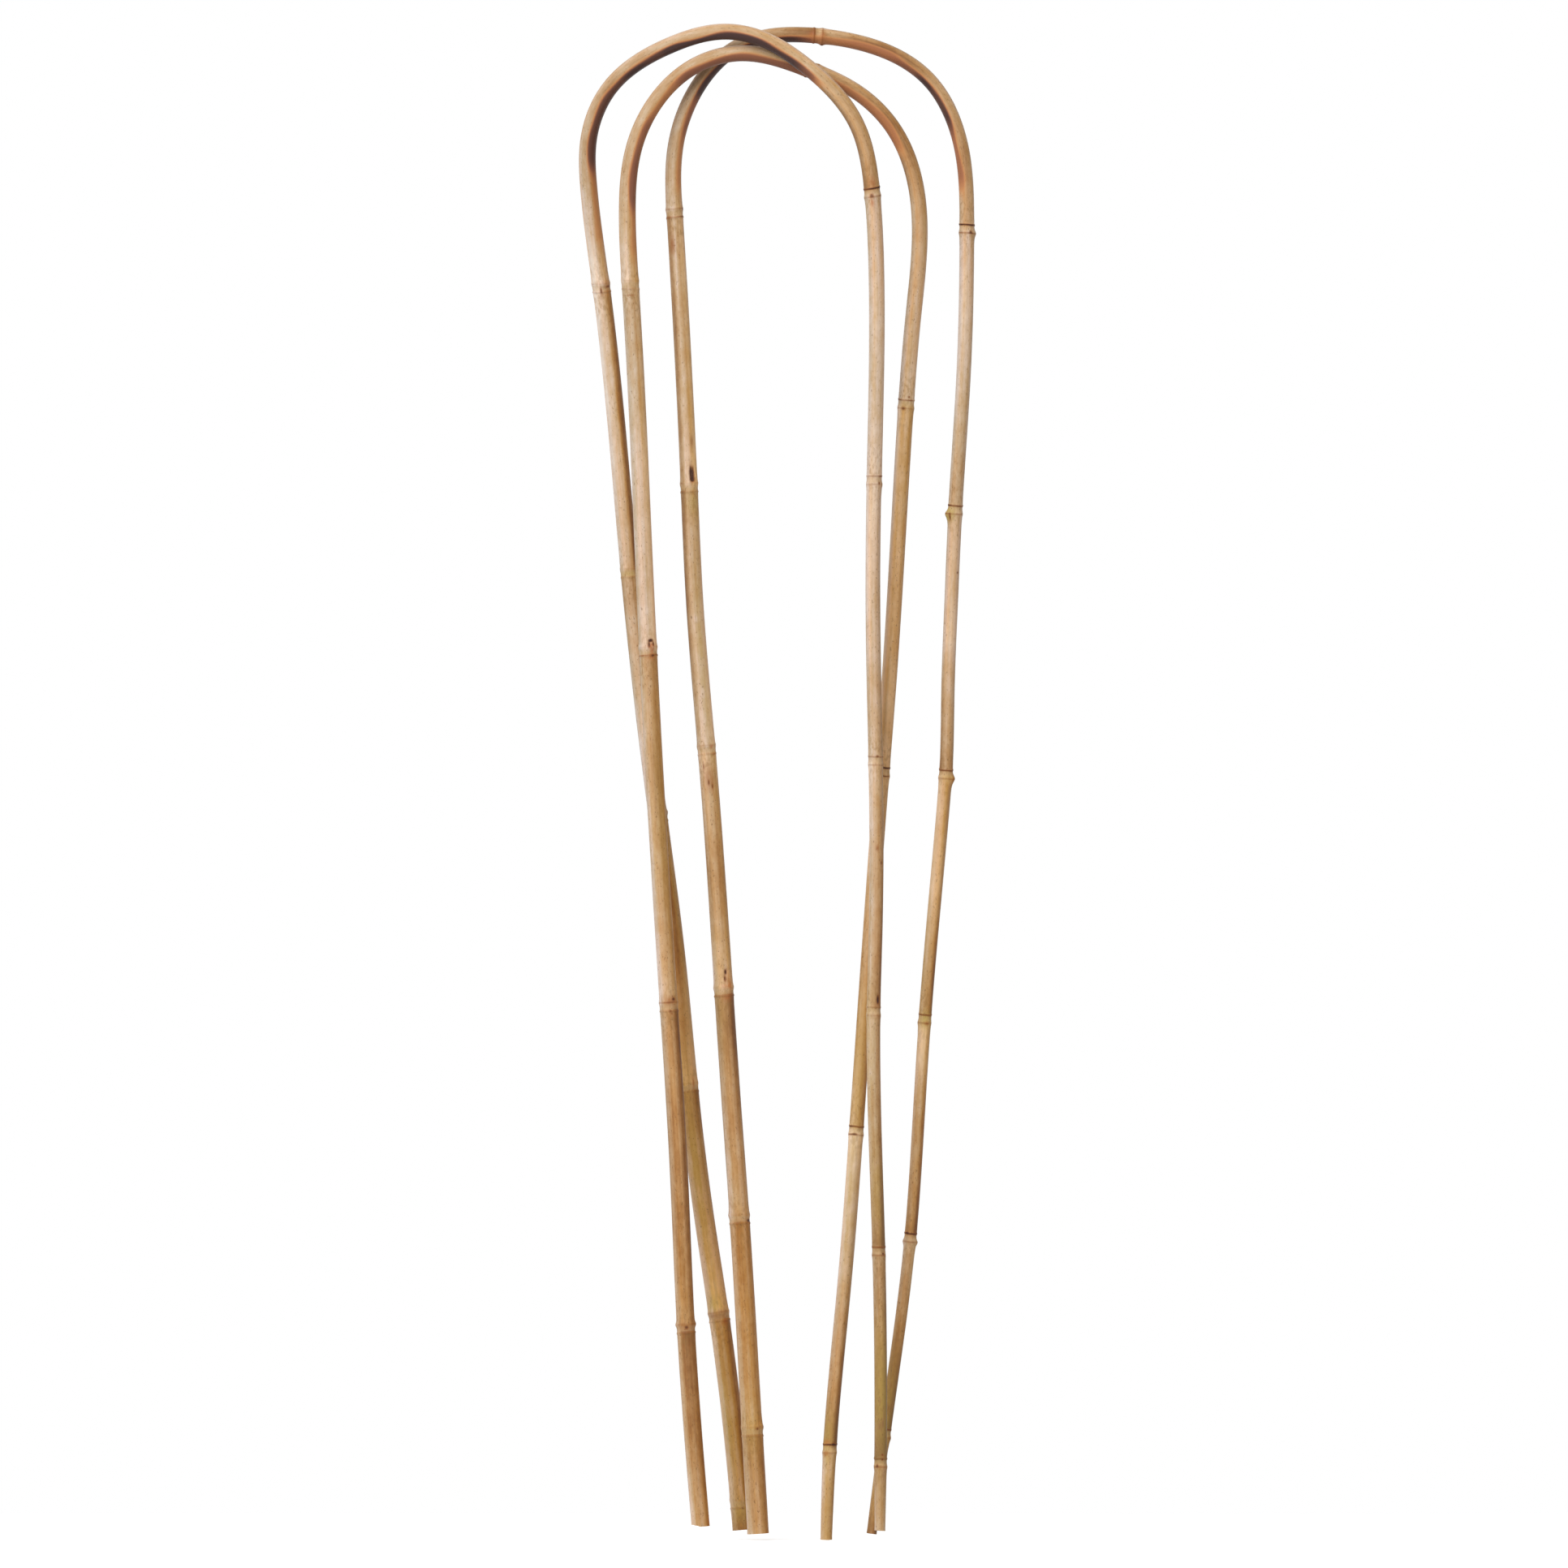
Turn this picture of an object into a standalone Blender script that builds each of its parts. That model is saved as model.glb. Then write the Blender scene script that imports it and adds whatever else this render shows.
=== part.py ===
"""Bamboo hoop trellis: three garden canes, each steamed and bent into a tall narrow arch.

The three hoops make one set, 1.2 m tall. They lie in layers across its depth: the back hoop, the
middle hoop before it, and the front hoop, whose thick leg starts behind both, swings over their
arches and comes down before them. Each hoop is one unbroken cane, thick at its butt and thin at
its tip. Every length below is in millimetres, and the finished model is in metres, with +Z up.
"""
import math

import bmesh
import bpy
import numpy as np

MILLIMETRE = 0.001

# Depth of the set: from the middle of one layer to the middle of the next
LAYER_STEP = 19.0

# Around and along each cane
SIDES = 12
LONGEST_STEP = 62.0
LARGEST_TURN = math.radians(6.5)
LINE_POINTS_PER_SPAN = 60

# A cane thins quickly over this length from its root, then slowly up to its last node
ROOT_LENGTH = 600.0

# A node, by length from its sheath scar towards the tip: swelling as a share of the radius.
# The sharp ring is the scar where the sheath grew, the round one after it is the ridge that
# closes the tube inside, and the branch bud sits on that ridge.
NODE_RINGS = (
    (-8.0, 0.000),
    (-1.1, 0.020),
    (0.0, 0.085),
    (1.3, 0.012),
    (4.2, 0.045),
    (6.6, 0.115),
    (9.6, 0.040),
    (16.0, 0.000),
)
RIDGE_FROM_SCAR = 6.6
BUD_RISE = 0.16
BUD_HALF_LENGTH = 3.0
BUD_HALF_ANGLE = math.radians(24.0)

# The shallow groove that the branch pressed into the tube above each bud
GROOVE_DEPTH = 0.055
GROOVE_START = 12.0
GROOVE_LENGTH = 150.0
GROOVE_HALF_ANGLE = math.radians(30.0)

# Heat bending squeezes the tube a little across the tight part of the arch
SQUEEZE = 0.045
TIGHT_BEND_RADIUS = 60.0

# Hollow tube at the sawn ends, as a share of the outer radius there, open up to the first node
HOLLOW_SHARE = 0.40
FLOOR_BEFORE_NODE = 4.0
FLOOR_DOME = 0.8


class Cane:
    """One hoop's cane: its route, its thickness and its place in the set.

    The route runs from the sawn butt, up one leg, over the arch and down to the sawn tip. A point
    is (across, up), in the plane of the set. One with a third value is a node, and that value is
    the bud's side in degrees: 0 faces out of the hoop, 90 the front, 180 into the hoop. The
    diameters are those at the butt, at the end of the root length, at the last node and at the tip.
    """

    def __init__(self, route, diameters, layer, butt_layer=None, swing=None):
        self.route = route
        self.diameters = diameters
        self.layer = layer
        self.butt_layer = layer if butt_layer is None else butt_layer
        self.swing = swing


FRONT = Cane(
    route=(
        (-28.0, 7.0), (-29.5, 24.5, 290), (-46.5, 173.0, 110), (-60.5, 267.0), (-71.0, 354.5, 290),
        (-81.5, 463.0), (-95.0, 569.0, 110), (-117.5, 763.0, 290), (-140.0, 989.5, 110),
        (-150.5, 1074.0), (-150.0, 1112.5), (-133.5, 1151.0), (-85.5, 1184.5), (-40.5, 1195.0),
        (-4.5, 1185.5), (17.0, 1171.5), (62.5, 1120.5), (74.0, 1071.0, 290), (77.5, 1012.0),
        (76.0, 843.0, 20), (75.0, 729.0), (77.0, 621.0, 290), (77.0, 480.0), (75.5, 422.5, 60),
        (79.5, 232.5, 250), (81.0, 65.0, 60), (80.5, 7.5),
    ),
    diameters=(16.6, 15.0, 9.9, 8.6), layer=-1.0, butt_layer=2.15, swing=(940.0, 1390.0),
)
MIDDLE = Cane(
    route=(
        (-61.5, 10.5), (-73.0, 164.0, 290), (-79.0, 296.0), (-86.5, 419.0, 250),
        (-103.0, 700.5, 110), (-117.0, 991.0, 290), (-119.5, 1063.0), (-114.0, 1104.5),
        (-63.5, 1169.5), (-29.0, 1178.0), (23.5, 1165.5, 180), (60.0, 1148.5), (91.0, 1118.5),
        (108.0, 1077.5), (107.0, 970.0), (101.5, 903.5, 300), (88.5, 691.0), (82.5, 612.5, 120),
        (62.0, 328.0, 300), (52.0, 199.0), (41.0, 76.0, 120), (38.0, 0.0),
    ),
    diameters=(14.4, 14.4, 10.9, 9.2), layer=0.0,
)
BACK = Cane(
    route=(
        (-16.0, 4.5), (-20.5, 82.0, 150), (-30.5, 250.5, 330), (-37.0, 342.0), (-43.0, 431.0, 110),
        (-56.5, 622.5, 290), (-66.0, 738.0), (-70.5, 830.5, 125), (-82.0, 1048.0, 305),
        (-80.0, 1112.5), (-28.5, 1185.5), (28.0, 1192.5, 90), (121.5, 1155.0), (143.0, 1112.5),
        (149.5, 1042.5, 270), (147.0, 926.0), (140.5, 820.0, 150), (137.0, 742.0), (134.5, 673.5),
        (133.0, 610.5, 20), (130.5, 577.0), (116.5, 416.5, 200), (111.0, 330.0),
        (105.0, 243.0, 340), (85.0, 87.5, 10), (74.0, 4.5),
    ),
    diameters=(17.1, 14.3, 9.1, 8.1), layer=1.0,
)


def smooth_line(knots, points_per_span=LINE_POINTS_PER_SPAN):
    """Natural cubic spline through the knots, as close points, with the knots' own indices."""
    knots = np.asarray(knots, dtype=float)
    spans = np.linalg.norm(np.diff(knots, axis=0), axis=1)
    slopes = np.diff(knots, axis=0) / spans[:, None]
    system = np.eye(len(knots))
    wanted = np.zeros_like(knots)
    for i in range(1, len(knots) - 1):
        system[i, i - 1:i + 2] = spans[i - 1], 2 * (spans[i - 1] + spans[i]), spans[i]
        wanted[i] = 6 * (slopes[i] - slopes[i - 1])
    bends = np.linalg.solve(system, wanted)
    pieces = []
    for i, span in enumerate(spans):
        u = np.linspace(0.0, span, points_per_span, endpoint=False)[:, None]
        cubic = (bends[i + 1] - bends[i]) / (6 * span)
        linear = slopes[i] - span * (2 * bends[i] + bends[i + 1]) / 6
        pieces.append(knots[i] + u * (linear + u * (bends[i] / 2 + u * cubic)))
    line = np.vstack(pieces + [knots[-1:]])
    return line, np.arange(len(knots)) * points_per_span


def smooth_step(low, high, value):
    """Rises from 0 to 1 between low and high, level at both ends."""
    share = np.clip((value - low) / (high - low), 0.0, 1.0)
    return share * share * (3.0 - 2.0 * share)


class CentreLine:
    """A cane's centre line, read by length from its butt."""

    def __init__(self, cane):
        flat, knots = smooth_line([point[:2] for point in cane.route])
        steps = np.linalg.norm(np.diff(flat, axis=0), axis=1)
        self.lengths = np.concatenate([[0.0], np.cumsum(steps)])
        self.total = self.lengths[-1]
        self.knots = self.lengths[knots]
        layer = np.full(len(flat), cane.layer)
        if cane.swing:
            swung = smooth_step(*cane.swing, self.lengths)
            layer = cane.butt_layer + swung * (cane.layer - cane.butt_layer)
        self.points = np.column_stack([flat[:, 0], layer * LAYER_STEP, flat[:, 1]])
        heading = np.unwrap(np.arctan2(*np.gradient(flat, axis=0).T[::-1]))
        self.turned = heading
        self.bend = np.abs(np.gradient(heading) / np.maximum(np.gradient(self.lengths), 1e-9))

    def read(self, values, at):
        """Any value held along the line, between its points, at the lengths asked for."""
        if values.ndim == 1:
            return np.interp(at, self.lengths, values)
        return np.column_stack([np.interp(at, self.lengths, column) for column in values.T])

    def frames(self, at):
        """Centres and two directions across the cane: out of the hoop, and to the front."""
        centres = self.read(self.points, at)
        ahead = self.read(np.gradient(self.points, axis=0), at)
        ahead /= np.linalg.norm(ahead, axis=1)[:, None]
        front = np.array([0.0, -1.0, 0.0]) + ahead[:, 1:2] * ahead
        front /= np.linalg.norm(front, axis=1)[:, None]
        outward = np.cross(front, ahead)
        return centres, outward, front


def node_list(cane, line):
    """(length from the butt, bud angle) of each node."""
    nodes = zip(cane.route, line.knots)
    return [(at, math.radians(point[2])) for point, at in nodes if len(point) == 3]


def ring_places(line, nodes):
    """Lengths along the cane that get a ring: every node's rings, and enough between them."""
    fixed = {0.0, line.total}
    for scar, _ in nodes:
        fixed.update(scar + offset for offset, _ in NODE_RINGS if 0 < scar + offset < line.total)
    fixed = sorted(fixed)
    places = [fixed[0]]
    for low, high in zip(fixed, fixed[1:]):
        turn = abs(line.read(line.turned, high) - line.read(line.turned, low))
        parts = max(1, math.ceil((high - low) / LONGEST_STEP), math.ceil(turn / LARGEST_TURN))
        places.extend(np.linspace(low, high, parts + 1)[1:])
    return np.array(places)


def angle_apart(angles, middle):
    """Smallest angle between each of the angles and the middle one."""
    return np.abs((angles - middle + math.pi) % (2 * math.pi) - math.pi)


def cane_radius(cane, line, nodes, at):
    """Plain radius without swellings, in three even tapers."""
    marks = (0.0, ROOT_LENGTH, nodes[-1][0], line.total)
    return np.interp(at, marks, cane.diameters) / 2


def swelling(line, nodes, at, angles):
    """Share by which each ring point stands out of the plain radius."""
    share = np.zeros((len(at), len(angles)))
    for scar, bud in nodes:
        beyond = at - scar
        offsets, rises = np.array(NODE_RINGS).T
        share += np.interp(beyond, offsets, rises, left=0.0, right=0.0)[:, None]
        near_bud = np.exp(-((beyond - RIDGE_FROM_SCAR) / BUD_HALF_LENGTH) ** 2)
        facing = np.exp(-(angle_apart(angles, bud) / BUD_HALF_ANGLE) ** 2)
        share += BUD_RISE * near_bud[:, None] * facing
        along = smooth_step(GROOVE_START, GROOVE_START + 6.0, beyond)
        along *= 1.0 - smooth_step(GROOVE_START, GROOVE_START + GROOVE_LENGTH, beyond)
        pressed = np.exp(-(angle_apart(angles, bud) / GROOVE_HALF_ANGLE) ** 2)
        share -= GROOVE_DEPTH * along[:, None] * pressed
    squeezed = np.minimum(line.read(line.bend, at) * TIGHT_BEND_RADIUS, 1.0)
    return share - SQUEEZE * squeezed[:, None] * np.cos(2 * angles)


def rings_of(line, at, radii, angles):
    """Ring points: each centre, plus the radius carried round it by the angle."""
    centres, outward, front = line.frames(at)
    radii = np.broadcast_to(radii, (len(at), len(angles)))[:, :, None]
    around = np.cos(angles)[:, None] * outward[:, None, :] + np.sin(angles)[:, None] * front[:, None, :]
    return centres[:, None, :] + radii * around


def cane_rings(cane):
    """All rings of one cane in order, and the middle points of the two hollow ends' floors.

    The skin is one loft: from the butt's floor out along its hollow, over the sawn wall, along
    the outside to the tip, over that wall and in along the other hollow.
    """
    line = CentreLine(cane)
    nodes = node_list(cane, line)
    angles = np.arange(SIDES) * (2 * math.pi / SIDES)
    places = ring_places(line, nodes)
    plain = cane_radius(cane, line, nodes, places)[:, None]
    outside = rings_of(line, places, plain * (1.0 + swelling(line, nodes, places, angles)), angles)
    hollows, middles = [], []
    for end, floor in ((0.0, nodes[0][0] - FLOOR_BEFORE_NODE),
                       (line.total, nodes[-1][0] + RIDGE_FROM_SCAR + FLOOR_BEFORE_NODE)):
        run = np.linspace(end, floor, max(2, math.ceil(abs(floor - end) / LONGEST_STEP) + 1))
        bore = cane_radius(cane, line, nodes, run)[:, None] * HOLLOW_SHARE
        hollows.append(rings_of(line, run, bore, angles))
        into_floor = floor + math.copysign(FLOOR_DOME, floor - end)
        middles.append(line.frames(np.array([into_floor]))[0][0])
    rings = np.concatenate([hollows[0][::-1], outside, hollows[1]])
    return rings * MILLIMETRE, np.array(middles) * MILLIMETRE, line.total


def loft(name, rings, middles):
    """Closed mesh through the rings, shut at both ends by a fan round its middle point."""
    mesh = bpy.data.meshes.new(name)
    shape = bmesh.new()
    loops = [[shape.verts.new(point) for point in ring] for ring in rings]
    for near, far in zip(loops, loops[1:]):
        for i in range(SIDES):
            j = (i + 1) % SIDES
            shape.faces.new((near[i], near[j], far[j], far[i]))
    for ring, middle in ((loops[0], middles[0]), (loops[-1], middles[1])):
        centre = shape.verts.new(middle)
        for i in range(SIDES):
            shape.faces.new((ring[i], ring[(i + 1) % SIDES], centre))
    bmesh.ops.recalc_face_normals(shape, faces=shape.faces)
    bmesh.ops.triangulate(shape, faces=shape.faces)
    shape.to_mesh(mesh)
    shape.free()
    mesh.shade_smooth()
    mesh.set_sharp_from_angle(angle=math.radians(42.0))
    return mesh


def bamboo(name, colour, roughness):
    """Dried bamboo skin."""
    material = bpy.data.materials.new(name)
    material.use_nodes = True
    shader = material.node_tree.nodes["Principled BSDF"]
    shader.inputs["Base Color"].default_value = (*colour, 1.0)
    shader.inputs["Roughness"].default_value = roughness
    shader.inputs["Metallic"].default_value = 0.0
    return material


HOOPS = {
    "hoop_front": (FRONT, (0.52, 0.34, 0.19), 0.42),
    "hoop_middle": (MIDDLE, (0.53, 0.33, 0.165), 0.45),
    "hoop_back": (BACK, (0.525, 0.33, 0.17), 0.43),
}


def main():
    for leftover in list(bpy.data.objects):
        bpy.data.objects.remove(leftover)
    lofts = {name: cane_rings(cane) for name, (cane, _, _) in HOOPS.items()}
    points = np.concatenate([rings.reshape(-1, 3) for rings, _, _ in lofts.values()])
    low, high = points.min(axis=0), points.max(axis=0)
    feet = np.array([(low[0] + high[0]) / 2, (low[1] + high[1]) / 2, low[2]])

    trellis = bpy.data.objects.new("trellis_set", None)
    bpy.context.collection.objects.link(trellis)
    for name, (rings, middles, length) in lofts.items():
        cane, colour, roughness = HOOPS[name]
        place = np.array([0.0, cane.layer * LAYER_STEP * MILLIMETRE, 0.0])
        mesh = loft(name, rings - place, middles - place)
        mesh.materials.append(bamboo(name + "_bamboo", colour, roughness))
        hoop = bpy.data.objects.new(name, mesh)
        hoop.parent = trellis
        hoop.location = place - feet
        bpy.context.collection.objects.link(hoop)
        print(f"{name}: cane {length:.0f} mm long, {len(mesh.polygons)} triangles")
    print("set measures", " x ".join(f"{size * 1000:.1f}" for size in high - low), "mm")


main()
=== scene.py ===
# %% [markdown]
# # Bamboo hoop trellis
# Three garden canes, each one long bamboo stem that was heated and bent into a tall narrow arch.
# They stand in layers, one before the other, and only lie over one another.
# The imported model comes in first. It already has the right places and sizes, and each piece made
# here replaces one of its plain hoops.

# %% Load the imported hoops
import math

import bpy
import numpy as np
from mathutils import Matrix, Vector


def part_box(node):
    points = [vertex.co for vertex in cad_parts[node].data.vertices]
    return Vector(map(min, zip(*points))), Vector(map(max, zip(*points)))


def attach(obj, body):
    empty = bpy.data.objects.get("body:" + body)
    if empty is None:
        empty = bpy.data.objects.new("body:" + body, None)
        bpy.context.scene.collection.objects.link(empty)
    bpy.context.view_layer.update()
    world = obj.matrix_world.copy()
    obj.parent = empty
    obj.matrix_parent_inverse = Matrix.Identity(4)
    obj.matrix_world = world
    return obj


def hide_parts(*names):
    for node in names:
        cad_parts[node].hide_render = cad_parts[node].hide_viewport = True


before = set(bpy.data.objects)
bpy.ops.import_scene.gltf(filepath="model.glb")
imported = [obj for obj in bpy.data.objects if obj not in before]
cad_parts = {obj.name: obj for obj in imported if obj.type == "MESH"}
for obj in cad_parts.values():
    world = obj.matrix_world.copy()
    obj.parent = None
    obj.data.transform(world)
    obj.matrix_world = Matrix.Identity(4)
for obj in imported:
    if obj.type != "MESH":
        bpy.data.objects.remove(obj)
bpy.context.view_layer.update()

# %% [markdown]
# ## Where each cane runs
# A bamboo cane never is quite straight: it leans a little at every node, and the heated part bends
# unevenly. A smooth line through points keeps those small leans, where a half circle on two
# straight legs would look like wire. The middles of the real canes were measured with a program,
# and points at nodes and bends were picked from them. Points between those were added, all
# were moved by a least-squares fit to the measured middles, and those that made no difference were
# dropped again. All are rounded to half a millimetre.
# Points are (across, up) in millimetres, in the plane of the set, from the sawn butt over the arch
# to the sawn tip. A third value marks a node, and gives the side of its bud in degrees: 0 faces
# out of the hoop, 90 the front, 180 into the hoop. These are the same points as in the CAD source.

# %% Routes of the three canes
MM = 0.001
LAYER_STEP = 19.0                      # from the middle of one hoop's layer to the next
SET_SHIFT = (1.010, -12.326, 0.132)    # stands the set centred, its lowest foot on the ground

# Thickness in mm, fitted to the widths of the real canes, is given at the butt, past the root, at
# the last node and at the tip. A layer counts from the middle hoop. On its butt leg a cane may lie
# in another one, and between the two lengths named swing it moves over to its own.
FRONT = dict(
    node="hoop_front", body="front_hoop", slot="cane_front", seed=11,
    route=((-28.0, 7.0), (-29.5, 24.5, 290), (-46.5, 173.0, 110), (-60.5, 267.0),
           (-71.0, 354.5, 290), (-81.5, 463.0), (-95.0, 569.0, 110), (-117.5, 763.0, 290),
           (-140.0, 989.5, 110), (-150.5, 1074.0), (-150.0, 1112.5), (-133.5, 1151.0),
           (-85.5, 1184.5), (-40.5, 1195.0), (-4.5, 1185.5), (17.0, 1171.5), (62.5, 1120.5),
           (74.0, 1071.0, 290), (77.5, 1012.0), (76.0, 843.0, 20), (75.0, 729.0),
           (77.0, 621.0, 290), (77.0, 480.0), (75.5, 422.5, 60), (79.5, 232.5, 250),
           (81.0, 65.0, 60), (80.5, 7.5)),
    thickness=(16.6, 15.0, 9.9, 8.6), layer=-1.0, butt_layer=2.15, swing=(940.0, 1390.0))
MIDDLE = dict(
    node="hoop_middle", body="middle_hoop", slot="cane_middle", seed=23,
    route=((-61.5, 10.5), (-73.0, 164.0, 290), (-79.0, 296.0), (-86.5, 419.0, 250),
           (-103.0, 700.5, 110), (-117.0, 991.0, 290), (-119.5, 1063.0), (-114.0, 1104.5),
           (-63.5, 1169.5), (-29.0, 1178.0), (23.5, 1165.5, 180), (60.0, 1148.5), (91.0, 1118.5),
           (108.0, 1077.5), (107.0, 970.0), (101.5, 903.5, 300), (88.5, 691.0), (82.5, 612.5, 120),
           (62.0, 328.0, 300), (52.0, 199.0), (41.0, 76.0, 120), (38.0, 0.0)),
    thickness=(14.4, 14.4, 10.9, 9.2), layer=0.0, butt_layer=0.0, swing=(0.0, 1.0))
BACK = dict(
    node="hoop_back", body="back_hoop", slot="cane_back", seed=37,
    route=((-16.0, 4.5), (-20.5, 82.0, 150), (-30.5, 250.5, 330), (-37.0, 342.0),
           (-43.0, 431.0, 110), (-56.5, 622.5, 290), (-66.0, 738.0), (-70.5, 830.5, 125),
           (-82.0, 1048.0, 305), (-80.0, 1112.5), (-28.5, 1185.5), (28.0, 1192.5, 90),
           (121.5, 1155.0), (143.0, 1112.5), (149.5, 1042.5, 270), (147.0, 926.0),
           (140.5, 820.0, 150), (137.0, 742.0), (134.5, 673.5), (133.0, 610.5, 20), (130.5, 577.0),
           (116.5, 416.5, 200), (111.0, 330.0), (105.0, 243.0, 340), (85.0, 87.5, 10), (74.0, 4.5)),
    thickness=(17.1, 14.3, 9.1, 8.1), layer=1.0, butt_layer=1.0, swing=(0.0, 1.0))
CANES = (BACK, MIDDLE, FRONT)
print("points on the routes:", [len(cane["route"]) for cane in CANES])

# %% [markdown]
# ## A smooth line through the points
# Straight pieces between the points would show as corners, and a soft curve that only runs near
# them would miss the nodes. A natural cubic spline goes through every point and bends as a thin
# rod does when it is held there, which is what a bent cane is.

# %% Smooth centre lines
POINTS_PER_SPAN = 60    # points of the smooth line between two points of the route


def smooth_line(knots):
    """Natural cubic spline: each span is a cubic in the distance along its chord, and the second
    slopes at the knots solve one linear system, so position, slope and curvature all join up."""
    spans = np.linalg.norm(np.diff(knots, axis=0), axis=1)
    slopes = np.diff(knots, axis=0) / spans[:, None]
    system, wanted = np.eye(len(knots)), np.zeros_like(knots)
    inner = np.arange(1, len(knots) - 1)
    system[inner, inner - 1], system[inner, inner + 1] = spans[:-1], spans[1:]
    system[inner, inner] = 2 * (spans[:-1] + spans[1:])
    wanted[inner] = 6 * np.diff(slopes, axis=0)
    bends = np.linalg.solve(system, wanted)[:, None, :]
    share = np.linspace(0.0, 1.0, POINTS_PER_SPAN, endpoint=False)[None, :, None]
    chord = spans[:, None, None]
    u = share * chord
    first_slope = slopes[:, None, :] - chord * (2 * bends[:-1] + bends[1:]) / 6
    bend_change = (bends[1:] - bends[:-1]) / (6 * chord)
    line = knots[:-1, None, :] + u * (first_slope + u * (bends[:-1] / 2 + u * bend_change))
    return np.vstack([line.reshape(-1, 2), knots[-1:]])


def smooth_step(low, high, value):
    """Rises from 0 to 1 between low and high as 3t^2 - 2t^3, level at both ends."""
    share = np.clip((value - low) / (high - low), 0.0, 1.0)
    return share * share * (3.0 - 2.0 * share)


def lay_out(cane):
    """Adds the cane's centre line: its points, the length along it at each, as the sum of the
    steps so far, its bend, as the change of heading over length, and its nodes."""
    knots = np.array([point[:2] for point in cane["route"]])
    flat = smooth_line(knots)
    steps = np.linalg.norm(np.diff(flat, axis=0), axis=1)
    along = np.concatenate([[0.0], np.cumsum(steps)])
    swung = smooth_step(*cane["swing"], along)
    layer = cane["butt_layer"] + swung * (cane["layer"] - cane["butt_layer"])
    line = np.column_stack([flat[:, 0], layer * LAYER_STEP, flat[:, 1]]) + SET_SHIFT
    heading = np.unwrap(np.arctan2(*np.gradient(flat, axis=0).T[::-1]))
    bend = np.abs(np.gradient(heading) / np.maximum(np.gradient(along), 1e-9))
    knot_lengths = along[np.arange(len(knots)) * POINTS_PER_SPAN]
    nodes = [(at, math.radians(point[2]))
             for point, at in zip(cane["route"], knot_lengths) if len(point) == 3]
    cane.update(along=along, line=line, bend=bend, total=along[-1], nodes=nodes)


for cane in CANES:
    lay_out(cane)
    print(f"{cane['node']}: {cane['total']:.0f} mm of cane, nodes at",
          " ".join(f"{at:.0f}" for at, _ in cane["nodes"]))

# %% [markdown]
# ## Directions across the cane
# Every ring of points needs a centre and two directions across the cane. One looks to the front
# of the set, the other out of the hoop. Taking them from the set's own plane keeps the tube from
# twisting over the arch, and lets a bud or a stain be placed by the way it faces.

# %% Frames along a cane
def read(cane, values, at):
    """Values held at the line's points, read between them at the lengths asked for."""
    return np.column_stack([np.interp(at, cane["along"], column) for column in values.T])


def frames(cane, at):
    """Centre, outward and front: front is the set's front made square to the cane, and outward
    is the cross product of front and the cane's own direction."""
    centres = read(cane, cane["line"], at)
    ahead = read(cane, np.gradient(cane["line"], axis=0), at)
    ahead /= np.linalg.norm(ahead, axis=1)[:, None]
    front = np.array([0.0, -1.0, 0.0]) + ahead[:, 1:2] * ahead
    front /= np.linalg.norm(front, axis=1)[:, None]
    return centres, np.cross(front, ahead), front


def wander(at, angles, seed, period, turns):
    """Smooth unevenness between -1 and 1: the mean of six sine waves, each running round the cane
    a whole number of times and along it with its own length, so that no seam shows."""
    dice = np.random.default_rng(seed)
    total = np.zeros(np.broadcast_shapes(np.shape(at), np.shape(angles)))
    for _ in range(6):
        round_it = dice.integers(-turns, turns + 1)
        wave = 2 * math.pi / (period * dice.uniform(0.6, 1.7))
        total = total + np.sin(at * wave + angles * round_it + dice.uniform(0, 2 * math.pi))
    return total / 6


print("front faces", frames(FRONT, np.array([500.0]))[2].round(3).tolist())

# %% [markdown]
# ## The node
# At each node the stem shows two rings. The lower one is the scar where the leaf sheath broke off,
# a thin sharp lip with a dark line under it. The other, a few millimetres on, is a soft round
# ridge that carries the branch bud, trimmed off on a garden cane. Above the bud the young branch
# pressed a shallow groove into the stem. Each is added as a share of the radius, so thick and thin
# canes keep the same look.

# %% Profile of a node
RIDGE = 6.6            # from the sheath scar to the ridge
SCAR_WAVE = 0.22       # how far the scar's line strays along the stem
LEAN_PAST_BUD = 0.9    # radians from the bud to the side where a tipped ring is furthest on
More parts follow.
